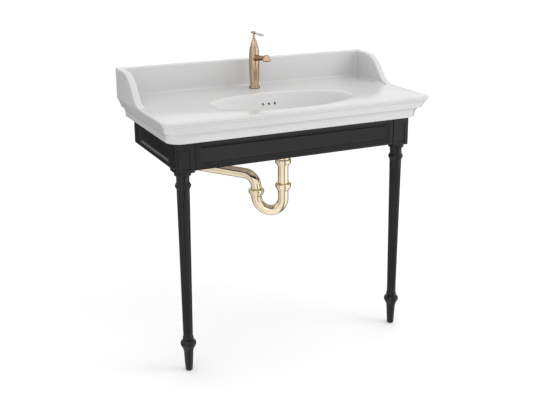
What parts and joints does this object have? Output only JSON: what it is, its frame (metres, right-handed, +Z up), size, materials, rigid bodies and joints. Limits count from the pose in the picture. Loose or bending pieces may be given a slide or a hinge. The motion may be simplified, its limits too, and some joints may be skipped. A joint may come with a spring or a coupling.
{
  "type": "console sink",
  "caption": "White ceramic console basin with upstand and side wings on a black panelled frame and turned fluted front legs, with a brass lever tap, pop-up waste and swept trap.",
  "frame": {"origin": "on the wall face, midway between the two wall bolt holes of the basin, 850 mm above the floor", "axes": "+Z up, +Y into the wall, +X to the right for a user facing the wall"},
  "size_m": [1, 0.547, 1.1112],
  "materials": {
    "ceramic": "white glazed fireclay, glossy and opaque",
    "porcelain": "white glazed porcelain, glossy and opaque",
    "black_wood": "black satin lacquer",
    "plain_wood": "plain sawn and sanded wood",
    "brass": "polished pale brass",
    "steel": "zinc plated",
    "rubber": "matt black rubber",
    "glide": "matt black nylon",
    "dark_plastic": "matt dark plastic"
  },
  "bodies": {
    "console": {"aerator_ring": "brass", "aerator_screen": "dark_plastic", "basin": "ceramic", "basin_pads": "rubber", "front_rail": "black_wood", "left_leg": "black_wood", "left_post": "black_wood", "left_rail": "black_wood", "leg_bolts": "steel", "leg_glides": "glide", "leg_inserts": "steel", "lower_nut": "brass", "lower_nut_seal": "rubber", "outlet_nut": "brass", "outlet_nut_seal": "rubber", "rail_dowels": "plain_wood", "rear_rail": "plain_wood", "right_leg": "black_wood", "right_post": "black_wood", "right_rail": "black_wood", "tailpiece": "brass", "tap_body": "brass", "tap_bonnet": "brass", "tap_cartridge": "dark_plastic", "tap_flange": "brass", "tap_foot_seal": "rubber", "tap_nut": "brass", "tap_rubber_washer": "rubber", "tap_shank": "brass", "tap_washer": "steel", "trap_bend": "brass", "upper_nut": "brass", "upper_nut_seal": "rubber", "wall_arm": "brass", "wall_rose": "brass", "waste_body": "brass", "waste_nut": "brass", "waste_washer": "rubber"},
    "stem": {"tap_stem": "brass", "lever_pin": "brass"},
    "lever": {"lever_hub": "brass", "lever_handle": "porcelain", "lever_tail": "brass"},
    "plug": {"plug": "brass", "plug_stem": "brass"}
  },
  "joints": [
    {"name": "lever_turn", "type": "hinge", "parent": "console", "child": "stem", "pos_m": [0, -0.088, 0.25], "axis": [0, 0, 1], "range_deg": [-45, 45]},
    {"name": "lever_lift", "type": "hinge", "parent": "stem", "child": "lever", "pos_m": [0, -0.088, 0.255], "axis": [-1, 0, 0], "range_deg": [0, 25]},
    {"name": "plug_rise", "type": "slide", "parent": "console", "child": "plug", "axis": [0, 0, 1], "range_m": [0, 0.008]}
  ]
}
